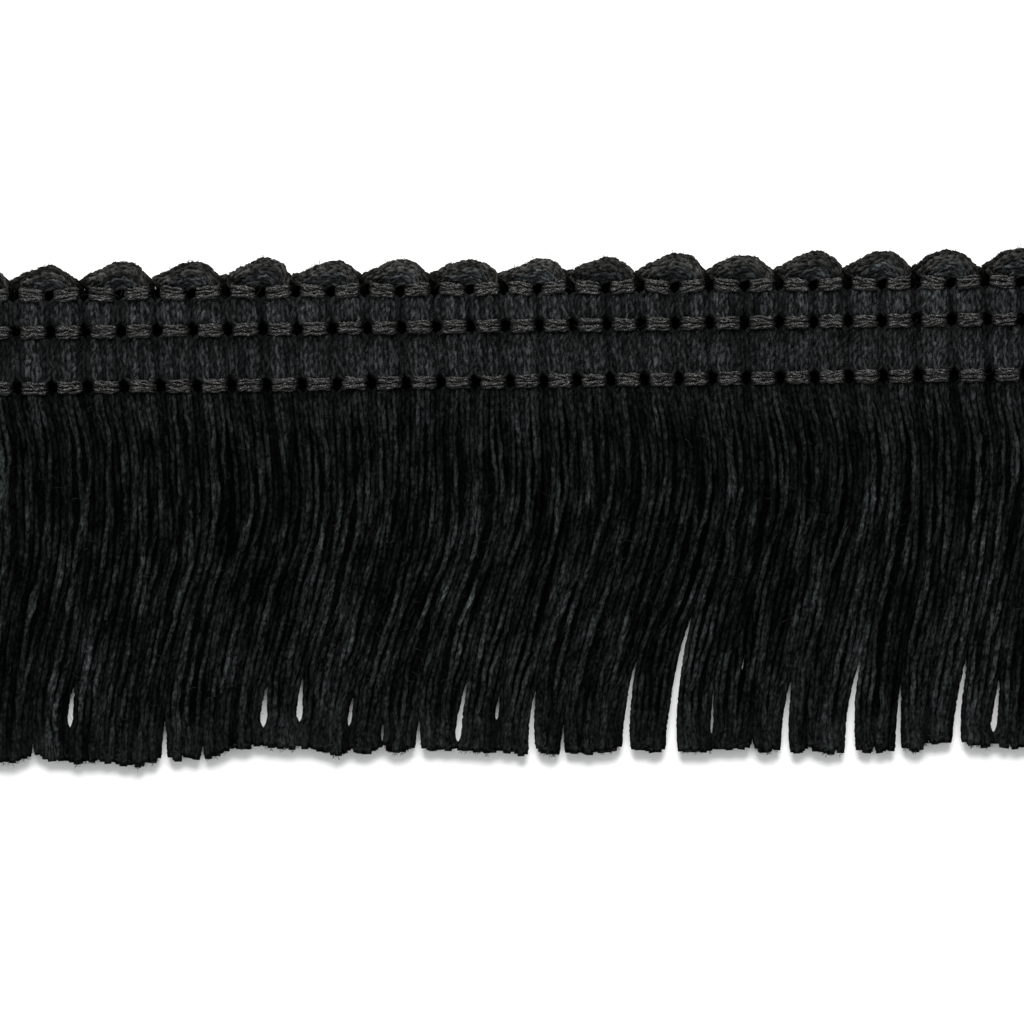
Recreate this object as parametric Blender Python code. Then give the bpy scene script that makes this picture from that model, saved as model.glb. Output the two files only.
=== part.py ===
"""Brush fringe trim: hairpins of plied yarn, bound by three rows of chain stitch and cut to a fringe.

The trim lies flat on z = 0. X runs along it, +Y points to the scalloped heading edge and the fringe
reaches to -Y. Each hairpin of yarn comes up one column, turns over in a scallop and goes down the
next column. Below the lowest row of stitches its yarns part into strands, which lie in two layers.
Each chain stitch crosses a column, dips between the columns and meets a thread that runs under them.
"""

import math
from collections import namedtuple

import bmesh
import bpy
import numpy as np

MM = 0.001

# Layout of the heading, in mm.
HAIRPIN_COUNT = 16
COLUMNS_IN_HAIRPIN = 2
COLUMN_COUNT = HAIRPIN_COUNT * COLUMNS_IN_HAIRPIN
COLUMN_PITCH = 3.475
LOWER_ROW_Y = 12.75
MIDDLE_ROW = 5.55            # distance of the middle row of stitches above the lower one
UPPER_ROW = 9.30             # distance of the upper row above the lower one
COLUMN_LEAN = 0.35           # how far the columns have moved to +X at the lower row
ROWS = {"chain_lower": 0.0, "chain_middle": MIDDLE_ROW, "chain_upper": UPPER_ROW}

# Strands of the fringe, in mm.
STRAND_WIDTH = 0.40
STRANDS_ACROSS = 4.5         # strands side by side in a column, on average over the two layers
ROOT_Y = -1.0                # where a strand starts inside the end of its column
ROOT_SQUEEZE = 0.72          # width of a column's strands at their roots, as a share of the pitch
BOW_DEPTH = 8.5              # depth at which a strand has bowed furthest to +X
HANG_DEPTH = 31.0            # depth below which a strand hangs nearly straight again
SWEEP_START = 9.5
SWEEP_END = 36.0
GAP_RAMP = 4.0               # depth over which two locks part fully
RAGGED = 0.30                # how far a cut end lies off its lock's own line

# Chain stitch, in mm.
BACK_THREAD_HEIGHT = 0.25
BACK_THREAD_WIDTH = 0.50
BACK_THREAD_OVERRUN = 0.15

RANDOM_SEED = 11
WELD = 1e-6                  # metres within which a curve's caps are merged with its sides

# A cross-section of one column: its distance from the lower row, half its width, its underside and
# upper side, and the share of its width that is flat.
ColumnSection = namedtuple("ColumnSection", "y half_width bottom top flat")
COLUMN_SECTIONS = (
    ColumnSection(-1.30, 1.57, 0.10, 1.45, 0.90),
    ColumnSection(0.00, 1.00, 0.78, 1.22, 0.75),
    ColumnSection(1.30, 1.57, 0.00, 1.70, 0.62),
    ColumnSection(4.30, 1.57, 0.00, 1.70, 0.62),
    ColumnSection(MIDDLE_ROW, 1.00, 0.78, 1.22, 0.75),
    ColumnSection(7.45, 1.55, 0.00, 1.70, 0.62),
    ColumnSection(UPPER_ROW, 1.00, 0.78, 1.22, 0.75),
)

# A cross-section of the scallop, from its low left shoulder over the top to its steep right foot.
# x is taken from the hole under the scallop and y from the lower row.
ScallopSection = namedtuple("ScallopSection", "outer_x outer_y inner_x inner_y bottom top")
SCALLOP_SECTIONS = (
    ScallopSection(-2.95, 10.25, -0.66, 9.85, 0.45, 1.35),
    ScallopSection(-4.30, 10.75, -0.62, 9.95, 0.10, 1.60),
    ScallopSection(-2.25, 11.90, -0.38, 10.08, 0.00, 1.95),
    ScallopSection(-0.30, 12.40, -0.05, 10.12, 0.00, 2.05),
    ScallopSection(1.25, 12.05, 0.30, 10.06, 0.00, 1.95),
    ScallopSection(2.30, 10.95, 0.55, 9.90, 0.30, 1.60),
)
SCALLOP_FLAT = 0.60

# A cross-section of the chain's thread within one stitch: its upper and its lower edge, seen along
# the row, and half its width. x is taken from the middle of the stitch.
StitchSection = namedtuple("StitchSection", "x_top z_top x_bottom z_bottom half_width")
STITCH_DIP = StitchSection(COLUMN_PITCH / 2, 0.62, COLUMN_PITCH / 2, 0.06, 0.22)
STITCH_BAR = (
    StitchSection(-1.32, 2.20, -1.20, 1.72, 0.64),
    StitchSection(1.32, 2.20, 1.20, 1.72, 0.64),
)

# The layers of strands: the height of a strand's flat underside at its root and where it lies
# level, its cross-section as seen along the strand, and how many strands an even and an odd
# column have.
Layer = namedtuple("Layer", "name root_z level_z outline even_count odd_count")
EDGE = STRAND_WIDTH / 2
WEDGE = ((-EDGE, 0.0), (EDGE, 0.0), (0.0, STRAND_WIDTH))
SQUARE = ((-EDGE, 0.0), (EDGE, 0.0), (EDGE, STRAND_WIDTH), (-EDGE, STRAND_WIDTH))
LAYERS = (
    Layer("lower", 0.40, 0.00, WEDGE, 4, 5),
    Layer("upper", 0.95, 0.72, SQUARE, 5, 4),
)

# The fringe, a row for each edge between two columns, from left to right: where that edge lies at
# the tips, how far the locks on its two sides stand apart, the depth at which they part, how far
# the strands bow to the right on their way down, and the length of the fringe.
LockEdge = namedtuple("LockEdge", "tip_x gap opens bow length")
LOCK_EDGES = (
    LockEdge(-56.2, 0.00, 33.0, 0.30, 37.2),
    LockEdge(-53.6, 0.30, 33.0, 0.30, 37.4),
    LockEdge(-51.1, 0.20, 26.5, 0.40, 37.2),
    LockEdge(-48.1, 0.15, 35.0, 0.45, 37.1),
    LockEdge(-44.2, 0.40, 30.8, 0.50, 37.3),
    LockEdge(-41.1, 0.10, 35.0, 0.60, 37.6),
    LockEdge(-38.0, 0.12, 28.0, 0.30, 37.8),
    LockEdge(-34.9, 0.40, 34.0, 0.60, 37.5),
    LockEdge(-31.0, 0.15, 35.0, 0.90, 37.1),
    LockEdge(-28.0, 0.00, 33.0, 0.85, 36.6),
    LockEdge(-25.0, 0.55, 29.5, 0.55, 36.1),
    LockEdge(-21.4, 0.50, 30.2, 0.35, 36.4),
    LockEdge(-18.8, 0.30, 24.5, 0.20, 36.7),
    LockEdge(-16.2, 0.30, 31.5, -0.10, 36.9),
    LockEdge(-13.1, 0.20, 34.0, -0.20, 36.8),
    LockEdge(-9.5, 0.35, 33.5, -0.20, 36.7),
    LockEdge(-5.3, 0.45, 30.0, 0.00, 36.9),
    LockEdge(-1.7, 0.20, 31.3, 0.15, 37.0),
    LockEdge(2.0, 0.50, 31.0, 0.25, 37.2),
    LockEdge(5.1, 0.15, 33.5, 0.30, 37.3),
    LockEdge(8.4, 0.16, 29.0, 0.35, 37.3),
    LockEdge(11.4, 0.70, 29.8, 0.45, 37.0),
    LockEdge(15.9, 1.10, 25.2, 0.15, 37.3),
    LockEdge(19.9, 0.20, 27.0, 0.10, 37.2),
    LockEdge(24.1, 0.20, 35.0, 0.40, 37.1),
    LockEdge(27.5, 0.70, 29.8, 0.55, 37.3),
    LockEdge(30.7, 0.20, 23.0, 0.30, 37.4),
    LockEdge(33.9, 0.90, 27.5, -0.05, 37.5),
    LockEdge(38.6, 0.45, 29.3, -0.20, 37.5),
    LockEdge(41.7, 0.00, 33.0, -0.15, 36.9),
    LockEdge(44.7, 0.75, 27.0, 0.00, 36.8),
    LockEdge(48.3, 0.50, 29.4, 0.10, 37.2),
    LockEdge(52.3, 0.00, 33.0, 0.15, 37.4),
)


def clear_scene():
    """Removes whatever the startup scene holds."""
    for old in list(bpy.data.objects):
        bpy.data.objects.remove(old, do_unlink=True)


def new_collection(name):
    """A collection of this name, linked to the scene."""
    collection = bpy.data.collections.new(name)
    bpy.context.scene.collection.children.link(collection)
    return collection


def yarn_material():
    """Black plied cotton: dark, slightly blue and matt."""
    material = bpy.data.materials.new("black_cotton_yarn")
    material.use_nodes = True
    shader = material.node_tree.nodes["Principled BSDF"]
    shader.inputs["Base Color"].default_value = (0.010, 0.012, 0.013, 1.0)
    shader.inputs["Roughness"].default_value = 0.75
    shader.inputs["Metallic"].default_value = 0.0
    return material


def thread_material():
    """Dyed filament thread of the chain stitches: a warmer black with a shine."""
    material = bpy.data.materials.new("black_filament_thread")
    material.use_nodes = True
    shader = material.node_tree.nodes["Principled BSDF"]
    shader.inputs["Base Color"].default_value = (0.022, 0.020, 0.019, 1.0)
    shader.inputs["Roughness"].default_value = 0.35
    shader.inputs["Metallic"].default_value = 0.0
    return material


def column_middle(column):
    """X of a column's middle at the upper rows, with the trim's own middle at 0."""
    return (column + 0.5 - COLUMN_COUNT / 2) * COLUMN_PITCH


def lean_at(y):
    """How far a column has moved to +X at this distance from the lower row."""
    return COLUMN_LEAN * min(max(1 - y / MIDDLE_ROW, 0.0), 1.0)


def ring_between(outer, inner, bottom, top, flat):
    """Six points around a flattened bundle that spans outer to inner, each an (x, y) pair."""
    outer, inner = np.array(outer), np.array(inner)
    near, far = (1 - flat) / 2, (1 + flat) / 2
    middle = (bottom + top) / 2
    places = ((0.0, middle), (near, top), (far, top), (1.0, middle), (far, bottom), (near, bottom))
    return [(*(outer + share * (inner - outer)), z) for share, z in places]


def column_rings(middle_x, side, sections):
    """Rings of one column. side is -1 where the outside of the hairpin's turn is to the left."""
    rings = []
    for row in sections:
        x = middle_x + lean_at(row.y)
        outer = (x + side * row.half_width, row.y)
        inner = (x - side * row.half_width, row.y)
        rings.append(ring_between(outer, inner, row.bottom, row.top, row.flat))
    return rings


def hairpin_rings(hairpin):
    """Rings all along a hairpin: up its left column, over the scallop and down its right column."""
    left = column_middle(COLUMNS_IN_HAIRPIN * hairpin)
    right = left + COLUMN_PITCH
    eye = (left + right) / 2
    over = [
        ring_between(
            (eye + row.outer_x, row.outer_y),
            (eye + row.inner_x, row.inner_y),
            row.bottom,
            row.top,
            SCALLOP_FLAT,
        )
        for row in SCALLOP_SECTIONS
    ]
    up = column_rings(left, -1, COLUMN_SECTIONS)
    down = column_rings(right, 1, COLUMN_SECTIONS[::-1])
    return up + over + down


def loft(bm, rings):
    """Joins rings of equally many points by quads and closes both ends. Sizes are in mm."""
    loops = [[bm.verts.new((x * MM, (LOWER_ROW_Y + y) * MM, z * MM)) for x, y, z in ring]
             for ring in rings]
    count = len(loops[0])
    for near, far in zip(loops, loops[1:]):
        for i in range(count):
            j = (i + 1) % count
            bm.faces.new((near[i], near[j], far[j], far[i]))
    bm.faces.new(loops[0])
    bm.faces.new(loops[-1])


def mesh_object(name, bm, collection, material=None):
    """Turns a bmesh into a named object with its faces pointing outwards."""
    bmesh.ops.recalc_face_normals(bm, faces=bm.faces)
    mesh = bpy.data.meshes.new(name)
    bm.to_mesh(mesh)
    bm.free()
    made = bpy.data.objects.new(name, mesh)
    if material:
        mesh.materials.append(material)
    collection.objects.link(made)
    return made


def smooth_step(value):
    """0 below 0 and 1 above 1, with an even start and end between them."""
    value = min(max(value, 0.0), 1.0)
    return value * value * (3 - 2 * value)


def edge_at(index, depth, side):
    """X of a column's edge at a depth below the lower row. side is 1 for the lock to its right."""
    edge = LOCK_EDGES[index]
    root_x = (index - COLUMN_COUNT / 2) * COLUMN_PITCH + COLUMN_LEAN
    swept = smooth_step((depth - SWEEP_START) / (SWEEP_END - SWEEP_START))
    bowed = math.sin(math.pi * min(depth / (2 * BOW_DEPTH), 1.0))
    apart = smooth_step((depth - edge.opens) / GAP_RAMP)
    along = root_x + (edge.tip_x - root_x) * swept + edge.bow * bowed
    return along + side * edge.gap / 2 * apart


def strand_x(column, share, depth):
    """X of a strand that lies at this share of its column's width."""
    left = edge_at(column, depth, 1)
    right = edge_at(column + 1, depth, -1)
    return left + share * (right - left)


def strand_route(column, share, layer, ragged):
    """A strand's points from its root inside the column to its cut end, in mm."""
    length = LOCK_EDGES[column].length * (1 - share) + LOCK_EDGES[column + 1].length * share + ragged
    root_x = column_middle(column) + COLUMN_LEAN + (share - 0.5) * COLUMN_PITCH * ROOT_SQUEEZE
    route = [(root_x, ROOT_Y, layer.root_z)]
    for depth in (BOW_DEPTH, HANG_DEPTH, length):
        route.append((strand_x(column, share, depth), -depth, layer.level_z))
    return route


def strand_shares(count):
    """Where a column's strands lie across its width, evenly spaced about its middle."""
    return [0.5 + (i - (count - 1) / 2) / STRANDS_ACROSS for i in range(count)]


def layer_routes(hairpin, layer, random):
    """The routes of the strands that hang in one layer from one hairpin."""
    routes = []
    for turn, count in enumerate((layer.even_count, layer.odd_count)):
        column = COLUMNS_IN_HAIRPIN * hairpin + turn
        for share in strand_shares(count):
            routes.append(strand_route(column, share, layer, random.uniform(-RAGGED, RAGGED)))
    return routes


def poly_spline(curve, points, cyclic=False):
    """Adds a spline of straight stretches through points given in mm."""
    spline = curve.splines.new("POLY")
    spline.points.add(len(points) - 1)
    spline.use_cyclic_u = cyclic
    for point, (x, y, z) in zip(spline.points, points):
        point.co = (x * MM, y * MM, z * MM, 1.0)


def outline_guide(layer, helpers):
    """The cross-section of a layer's strands, as a flat closed curve."""
    name = "strand_outline_" + layer.name
    curve = bpy.data.curves.new(name, "CURVE")
    poly_spline(curve, [(x, z, 0.0) for x, z in layer.outline], cyclic=True)
    guide = bpy.data.objects.new(name, curve)
    guide.hide_render = True
    guide.display_type = "WIRE"
    helpers.objects.link(guide)
    return guide


def strand_mesh(routes, outline):
    """The mesh of a curve that carries the outline along each route, its flat side down."""
    curve = bpy.data.curves.new("strand_routes", "CURVE")
    curve.dimensions = "3D"
    curve.twist_mode = "Z_UP"
    curve.bevel_mode = "OBJECT"
    curve.bevel_object = outline
    curve.use_fill_caps = True
    for route in routes:
        poly_spline(curve, [(x, LOWER_ROW_Y + y, z) for x, y, z in route])
    guide = bpy.data.objects.new("strand_routes", curve)
    bpy.context.scene.collection.objects.link(guide)
    bpy.context.view_layer.update()
    mesh = bpy.data.meshes.new_from_object(guide.evaluated_get(bpy.context.evaluated_depsgraph_get()))
    bpy.data.objects.remove(guide, do_unlink=True)
    return mesh


def strand_bundle(hairpin, random, outlines, helpers):
    """All strands of a hairpin as one helper of closed shapes, ready to be joined to it."""
    bm = bmesh.new()
    for layer, outline in zip(LAYERS, outlines):
        mesh = strand_mesh(layer_routes(hairpin, layer, random), outline)
        bm.from_mesh(mesh)
        bpy.data.meshes.remove(mesh)
    bmesh.ops.remove_doubles(bm, verts=bm.verts, dist=WELD)
    bundle = mesh_object(f"strands_{hairpin + 1:02d}", bm, helpers)
    bundle.hide_render = True
    bundle.display_type = "WIRE"
    return bundle


def join(target, helper):
    """Adds a helper's closed shapes to the target by a union."""
    union = target.modifiers.new("join_" + helper.name, "BOOLEAN")
    union.operation = "UNION"
    union.solver = "EXACT"
    union.object = helper


def make_hairpin(hairpin, strands, parts, material):
    """One yarn hairpin with its scallop, its two ribbed columns and its strands."""
    bm = bmesh.new()
    loft(bm, hairpin_rings(hairpin))
    body = mesh_object(f"yarn_hairpin_{hairpin + 1:02d}", bm, parts, material)
    join(body, strands)
    return body


def stitch_ring(section, x, y):
    """Four points around the chain's thread: top, one side, bottom and the other side."""
    side_x = x + (section.x_top + section.x_bottom) / 2
    side_z = (section.z_top + section.z_bottom) / 2
    return [
        (x + section.x_top, y, section.z_top),
        (side_x, y + section.half_width, side_z),
        (x + section.x_bottom, y, section.z_bottom),
        (side_x, y - section.half_width, side_z),
    ]


def back_thread(name, y, helpers):
    """The straight thread that runs under the columns and ties the dips of one row together."""
    length = COLUMN_COUNT * COLUMN_PITCH + 2 * BACK_THREAD_OVERRUN
    bm = bmesh.new()
    bmesh.ops.create_cube(bm, size=1.0)
    bmesh.ops.scale(bm, vec=(length * MM, BACK_THREAD_WIDTH * MM, BACK_THREAD_HEIGHT * MM),
                    verts=bm.verts)
    middle = (lean_at(y) * MM, (LOWER_ROW_Y + y) * MM, BACK_THREAD_HEIGHT / 2 * MM)
    bmesh.ops.translate(bm, vec=middle, verts=bm.verts)
    thread = mesh_object(name, bm, helpers)
    thread.hide_render = True
    thread.display_type = "WIRE"
    return thread


def make_chain(name, y, parts, helpers, material):
    """One row of chain stitches, from its first dip to its last."""
    rings = [stitch_ring(STITCH_DIP, column_middle(-1) + lean_at(y), y)]
    for column in range(COLUMN_COUNT):
        x = column_middle(column) + lean_at(y)
        rings += [stitch_ring(section, x, y) for section in (*STITCH_BAR, STITCH_DIP)]
    bm = bmesh.new()
    loft(bm, rings)
    chain = mesh_object(name, bm, parts, material)
    join(chain, back_thread(name + "_back", y, helpers))
    return chain


def main():
    clear_scene()
    parts = new_collection("brush_fringe_trim")
    helpers = new_collection("helpers")
    random = np.random.default_rng(RANDOM_SEED)
    yarn = yarn_material()
    thread = thread_material()
    outlines = [outline_guide(layer, helpers) for layer in LAYERS]
    for hairpin in range(HAIRPIN_COUNT):
        strands = strand_bundle(hairpin, random, outlines, helpers)
        make_hairpin(hairpin, strands, parts, yarn)
    for name, y in ROWS.items():
        make_chain(name, y, parts, helpers, thread)


main()
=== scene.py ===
"""Looks of the brush fringe trim: every plied cotton yarn and every chain thread is a tube.

All sizes are in millimetres until a mesh is written, when they become metres. Heights along
the trim, called y here, count from the lower chain row: up is the heading, down the cut fringe.
"""

from __future__ import annotations

import logging
import math
from collections import defaultdict
from dataclasses import dataclass, replace
from enum import Enum

import bpy
import numpy as np
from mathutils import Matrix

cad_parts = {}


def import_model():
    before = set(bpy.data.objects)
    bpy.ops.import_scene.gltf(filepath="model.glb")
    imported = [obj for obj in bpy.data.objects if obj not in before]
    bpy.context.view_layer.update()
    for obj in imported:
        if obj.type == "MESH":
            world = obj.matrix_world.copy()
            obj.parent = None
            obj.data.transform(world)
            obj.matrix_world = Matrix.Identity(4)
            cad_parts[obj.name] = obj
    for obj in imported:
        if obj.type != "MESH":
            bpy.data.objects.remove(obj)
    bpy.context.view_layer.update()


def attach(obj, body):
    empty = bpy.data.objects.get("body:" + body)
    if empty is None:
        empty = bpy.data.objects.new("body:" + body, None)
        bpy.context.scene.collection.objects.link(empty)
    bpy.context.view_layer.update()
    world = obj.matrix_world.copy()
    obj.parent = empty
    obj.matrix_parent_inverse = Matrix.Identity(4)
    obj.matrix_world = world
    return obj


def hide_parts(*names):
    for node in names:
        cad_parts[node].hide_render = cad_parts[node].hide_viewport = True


MM = 0.001
LOG = logging.getLogger("fringe")
SEED = 23

UP = (0.0, 0.0, 1.0)
BIND_REACH = 0.70  # how far above and below its line a chain row pinches the yarns
PATCH_WAVES = 16  # how many waves make the uneven lightness
PLY_SWELL = 0.2  # share of a yarn's radius that swells with its plies
CLEARANCE = 0.01  # height of the lowest yarns above the floor

Colour = tuple[float, float, float, float]


# ----------------------------------------------------------------------------- layout


def table(kind: type, *rows: tuple) -> tuple:
    """One record of this kind for each row."""
    return tuple(kind(*row) for row in rows)


class Row(Enum):
    """The three chain rows, as heights above the lower one in millimetres."""

    LOWER = 0.0
    MIDDLE = 5.55
    UPPER = 9.30


@dataclass(frozen=True)
class LockEdge:
    """One border between two neighbouring locks of the fringe."""

    tip_x: float  # where the border ends at the cut edge
    gap: float  # how wide it stands open there
    opens: float  # depth at which it starts to open
    bow: float  # how far it swings to the right near the heading
    length: float  # length of the strands beside it
    closes: float = 99.0  # depth at which the felted ends meet again


LOCK_EDGES = table(
    LockEdge,
    (-56.2, 0.00, 33.0, 0.30, 37.2),
    (-53.6, 0.30, 33.0, 0.30, 37.4),
    (-51.1, 0.00, 33.0, 0.40, 37.2),
    (-48.1, 0.15, 34.0, 0.45, 37.1),
    (-44.2, 0.45, 29.2, 0.50, 37.3, 34.4),
    (-41.1, 0.00, 35.0, 0.60, 37.6),
    (-38.0, 0.00, 35.0, 0.30, 37.8),
    (-34.9, 0.40, 32.6, 0.60, 37.5),
    (-31.0, 0.15, 34.6, 0.90, 37.1),
    (-28.0, 0.00, 33.0, 0.85, 36.6),
    (-25.0, 0.65, 29.4, 0.55, 36.1, 34.6),
    (-21.4, 0.60, 28.6, 0.35, 36.4, 34.2),
    (-18.8, 0.00, 35.0, 0.20, 36.7),
    (-16.2, 0.35, 30.4, -0.10, 36.9, 34.8),
    (-13.1, 0.20, 32.8, -0.20, 36.8, 36.4),
    (-9.5, 0.30, 32.3, -0.20, 36.7),
    (-5.3, 0.50, 28.8, 0.00, 36.9, 36.4),
    (-1.7, 0.22, 30.5, 0.15, 37.0, 34.4),
    (2.0, 0.50, 29.9, 0.25, 37.2),
    (5.1, 0.18, 32.6, 0.30, 37.3),
    (8.4, 0.00, 35.0, 0.35, 37.3),
    (11.4, 0.65, 26.6, 0.45, 37.0),
    (15.9, 1.00, 22.4, 0.15, 37.3),
    (19.9, 0.16, 27.2, 0.10, 37.2, 36.2),
    (24.1, 0.20, 35.5, 0.40, 37.1),
    (27.5, 0.65, 29.3, 0.55, 37.3),
    (30.7, 0.00, 35.0, 0.30, 37.4),
    (33.9, 0.90, 26.8, -0.05, 37.5),
    (38.6, 0.40, 29.0, -0.20, 37.5),
    (41.7, 0.00, 33.0, -0.15, 36.9),
    (44.7, 0.70, 27.0, 0.00, 36.8),
    (48.3, 0.55, 29.6, 0.10, 37.2, 36.2),
    (52.3, 0.00, 33.0, 0.15, 37.4),
)


@dataclass(frozen=True)
class Sway:
    """How far the rows draw one column border aside from even spacing, to the right."""

    border: int
    lower: float
    middle: float
    upper: float


SWAYS = table(
    Sway,
    (2, -0.81, -0.51, -0.62),
    (4, -0.65, -0.44, -0.58),
    (7, -0.15, -0.10, -0.30),
    (11, -0.05, -0.07, -0.24),
    (16, -0.07, -0.10, -0.22),
    (18, -0.36, -0.31, -0.50),
    (21, -0.58, -0.50, -0.53),
    (24, -0.86, -0.50, -0.48),
    (28, -0.95, -0.68, -0.70),
    (30, -0.70, -0.55, -0.71),
)


def smooth_step(share: np.ndarray) -> np.ndarray:
    """Share of the way along a ramp that starts and ends level, from 0 to 1."""
    share = np.clip(share, 0.0, 1.0)
    return share * share * (3.0 - 2.0 * share)


def blend(start: np.ndarray, stop: np.ndarray, share: np.ndarray) -> np.ndarray:
    """The value a share of the way from start to stop."""
    return start + (stop - start) * share


def bound(y: np.ndarray) -> np.ndarray:
    """How tightly the rows bind a column at each height: a flat-topped bell round each."""
    return sum(np.exp(-(((y - row.value) / BIND_REACH) ** 4)) for row in Row)


def patches(x: np.ndarray, y: np.ndarray) -> np.ndarray:
    """Uneven lightness over the whole trim, as a sum of long slanting waves of random phase.

    Args:
        x: places along the trim
        y: heights above the lower row, as many as x or one

    Returns:
        The unevenness, about 0 with a spread of about 1.
    """
    rng = np.random.default_rng(SEED + 900)
    wide = rng.uniform(2.0, 14.0, PATCH_WAVES)
    tall = rng.uniform(20.0, 80.0, PATCH_WAVES) * rng.choice((-1, 1), PATCH_WAVES)
    phase = rng.uniform(0, 2 * np.pi, PATCH_WAVES)
    waves = x[..., None] / wide + np.asarray(y)[..., None] / tall
    return np.sin(2 * np.pi * waves + phase).sum(axis=-1) / math.sqrt(PATCH_WAVES / 2)


@dataclass(frozen=True)
class Rise:
    """Eased rise from 0 to 1."""

    start: float  # where it starts
    width: float  # how much farther on it ends, or how much farther back if it is below zero

    def at(self, place: np.ndarray) -> np.ndarray:
        """The share risen at each place."""
        return smooth_step((place - self.start) / self.width)


@dataclass(frozen=True)
class Ramp:
    """Straight stretches between known values, level beyond the first and the last."""

    places: tuple[float, ...]  # where the values are known, in rising order
    values: tuple[float, ...]  # the values there

    def at(self, place: np.ndarray) -> np.ndarray:
        """The value at each place."""
        return np.interp(place, self.places, self.values)


@dataclass(frozen=True)
class Layout:
    """Where columns and locks stand, as in the solids but for sway and a late sweep."""

    hairpins: int = 16  # how many weft bundles there are
    columns: int = 32  # how many columns they make
    pitch: float = 3.475  # width of a column
    lower_row_y: float = 12.75  # height of the lower row in the frame
    lean: float = 0.35  # how far the lower row stands to the right of the upper one
    bow_depth: float = 8.5  # depth at which the locks bow out farthest
    sweep_start: float = 9.5  # depth at which they start to sweep aside
    sweep_end: float = 36.0  # depth at which they end it
    late_start: float = 4.0  # how much deeper the sweep starts at the left end
    late_bow: float = 2.0  # how much deeper the bow lies there
    late_from: float = -10.0  # x at which they start to lie deeper, going left
    late_width: float = 30.0  # how much farther left they lie deepest
    closing: float = 0.8  # how far above the place where ends meet again a gap is widest
    meeting: float = 1.5  # depth in which the ends meet
    even_depth: float = 8.0  # depth at which the sway of the rows has died away
    loosening: Rise = Rise(0.0, 9.0)  # depths in which a strand comes free of its column

    def apart(self, index: int, y: np.ndarray) -> np.ndarray:
        """How far a border has opened, from 0 to 1, evenly down to the cut edge.

        Args:
            index: which border, counted from the left end
            y: heights above the lower row

        Returns:
            The share of its full gap at each height.
        """
        edge = LOCK_EDGES[index]
        widest = min(edge.length, edge.closes - self.closing)
        opening = np.clip((-y - edge.opens) / (widest - edge.opens), 0.0, 1.0)
        return opening * smooth_step((edge.closes + y) / self.meeting)

    def border(self, index: np.ndarray, y: np.ndarray) -> np.ndarray:
        """Border between two columns, evenly spaced but for the sway of the rows.

        Args:
            index: which border, counted from the left end; fractions lie within a column
            y: heights above the lower row

        Returns:
            x of the border at each height.
        """
        known = [sway.border for sway in SWAYS]
        low, middle, up = (
            np.interp(index, known, [getattr(sway, name) for sway in SWAYS])
            for name in ("lower", "middle", "upper")
        )
        share = np.clip(y / Row.MIDDLE.value, 0.0, 1.0)
        over = (y - Row.MIDDLE.value) / (Row.UPPER.value - Row.MIDDLE.value)
        sway = blend(low, middle, share) + (up - middle) * np.clip(over, 0.0, 1.0)
        sway = sway * (1 - smooth_step(-y / self.even_depth)) + self.lean * (1 - share)
        return (index - self.columns / 2) * self.pitch + sway

    def edge(self, index: int, y: np.ndarray, side: int) -> np.ndarray:
        """Border of a column, upwards, or of its lock, downwards.

        Args:
            index: which border, counted from the left end
            y: heights above the lower row
            side: 1 for the column to the right of the border, -1 for the one to its left

        Returns:
            x of the border at each height.
        """
        edge = LOCK_EDGES[index]
        depth = np.maximum(-y, 0.0)
        open_now = edge.gap * self.apart(index, y)
        root = self.border(index, y)
        late = float(smooth_step(np.array((self.late_from - edge.tip_x) / self.late_width)))
        start = self.sweep_start + self.late_start * late
        swept = smooth_step((depth - start) / (self.sweep_end - start))
        bow_depth = self.bow_depth + self.late_bow * late
        bowed = np.sin(np.pi * np.minimum(depth / (2 * bow_depth), 1.0))
        rng = np.random.default_rng(SEED + 1000 + index)
        swings = waver(rng, depth, Swing.BORDER) * self.loosening.at(depth)
        shift = (edge.tip_x - root) * swept + edge.bow * bowed
        return root + shift + swings + side * open_now / 2


# ------------------------------------------------------------------- tubes and meshes


class Section(Enum):
    """Outline of a yarn: how many sides it has, and how far its plies stand off its middle."""

    FACE = (9, 0.38)
    BACK = (6, 0.20)
    THREAD = (4, 0.0)
    FIBRE = (3, 0.0)

    def outline(self) -> tuple[np.ndarray, np.ndarray, np.ndarray]:
        """Angles and reach of the corners round the yarn.

        Three round plies touch the yarn's radius from inside. The reach at an angle is where
        the ray meets the nearest ply, so that crests and grooves alternate.

        Returns:
            Corner angles, the reach of each as a share of the yarn's radius, and its ply.
        """
        sides, offset = self.value
        angles = (np.arange(sides) + 0.5) * 2 * np.pi / sides
        off = np.mod(angles + np.pi / 3, 2 * np.pi / 3) - np.pi / 3
        ply = np.sqrt((1 - offset) ** 2 - (offset * np.sin(off)) ** 2)
        nearest = np.floor(angles / (2 * np.pi / 3) + 0.5).astype(int) % 3
        return angles, offset * np.cos(off) + ply, nearest


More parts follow.
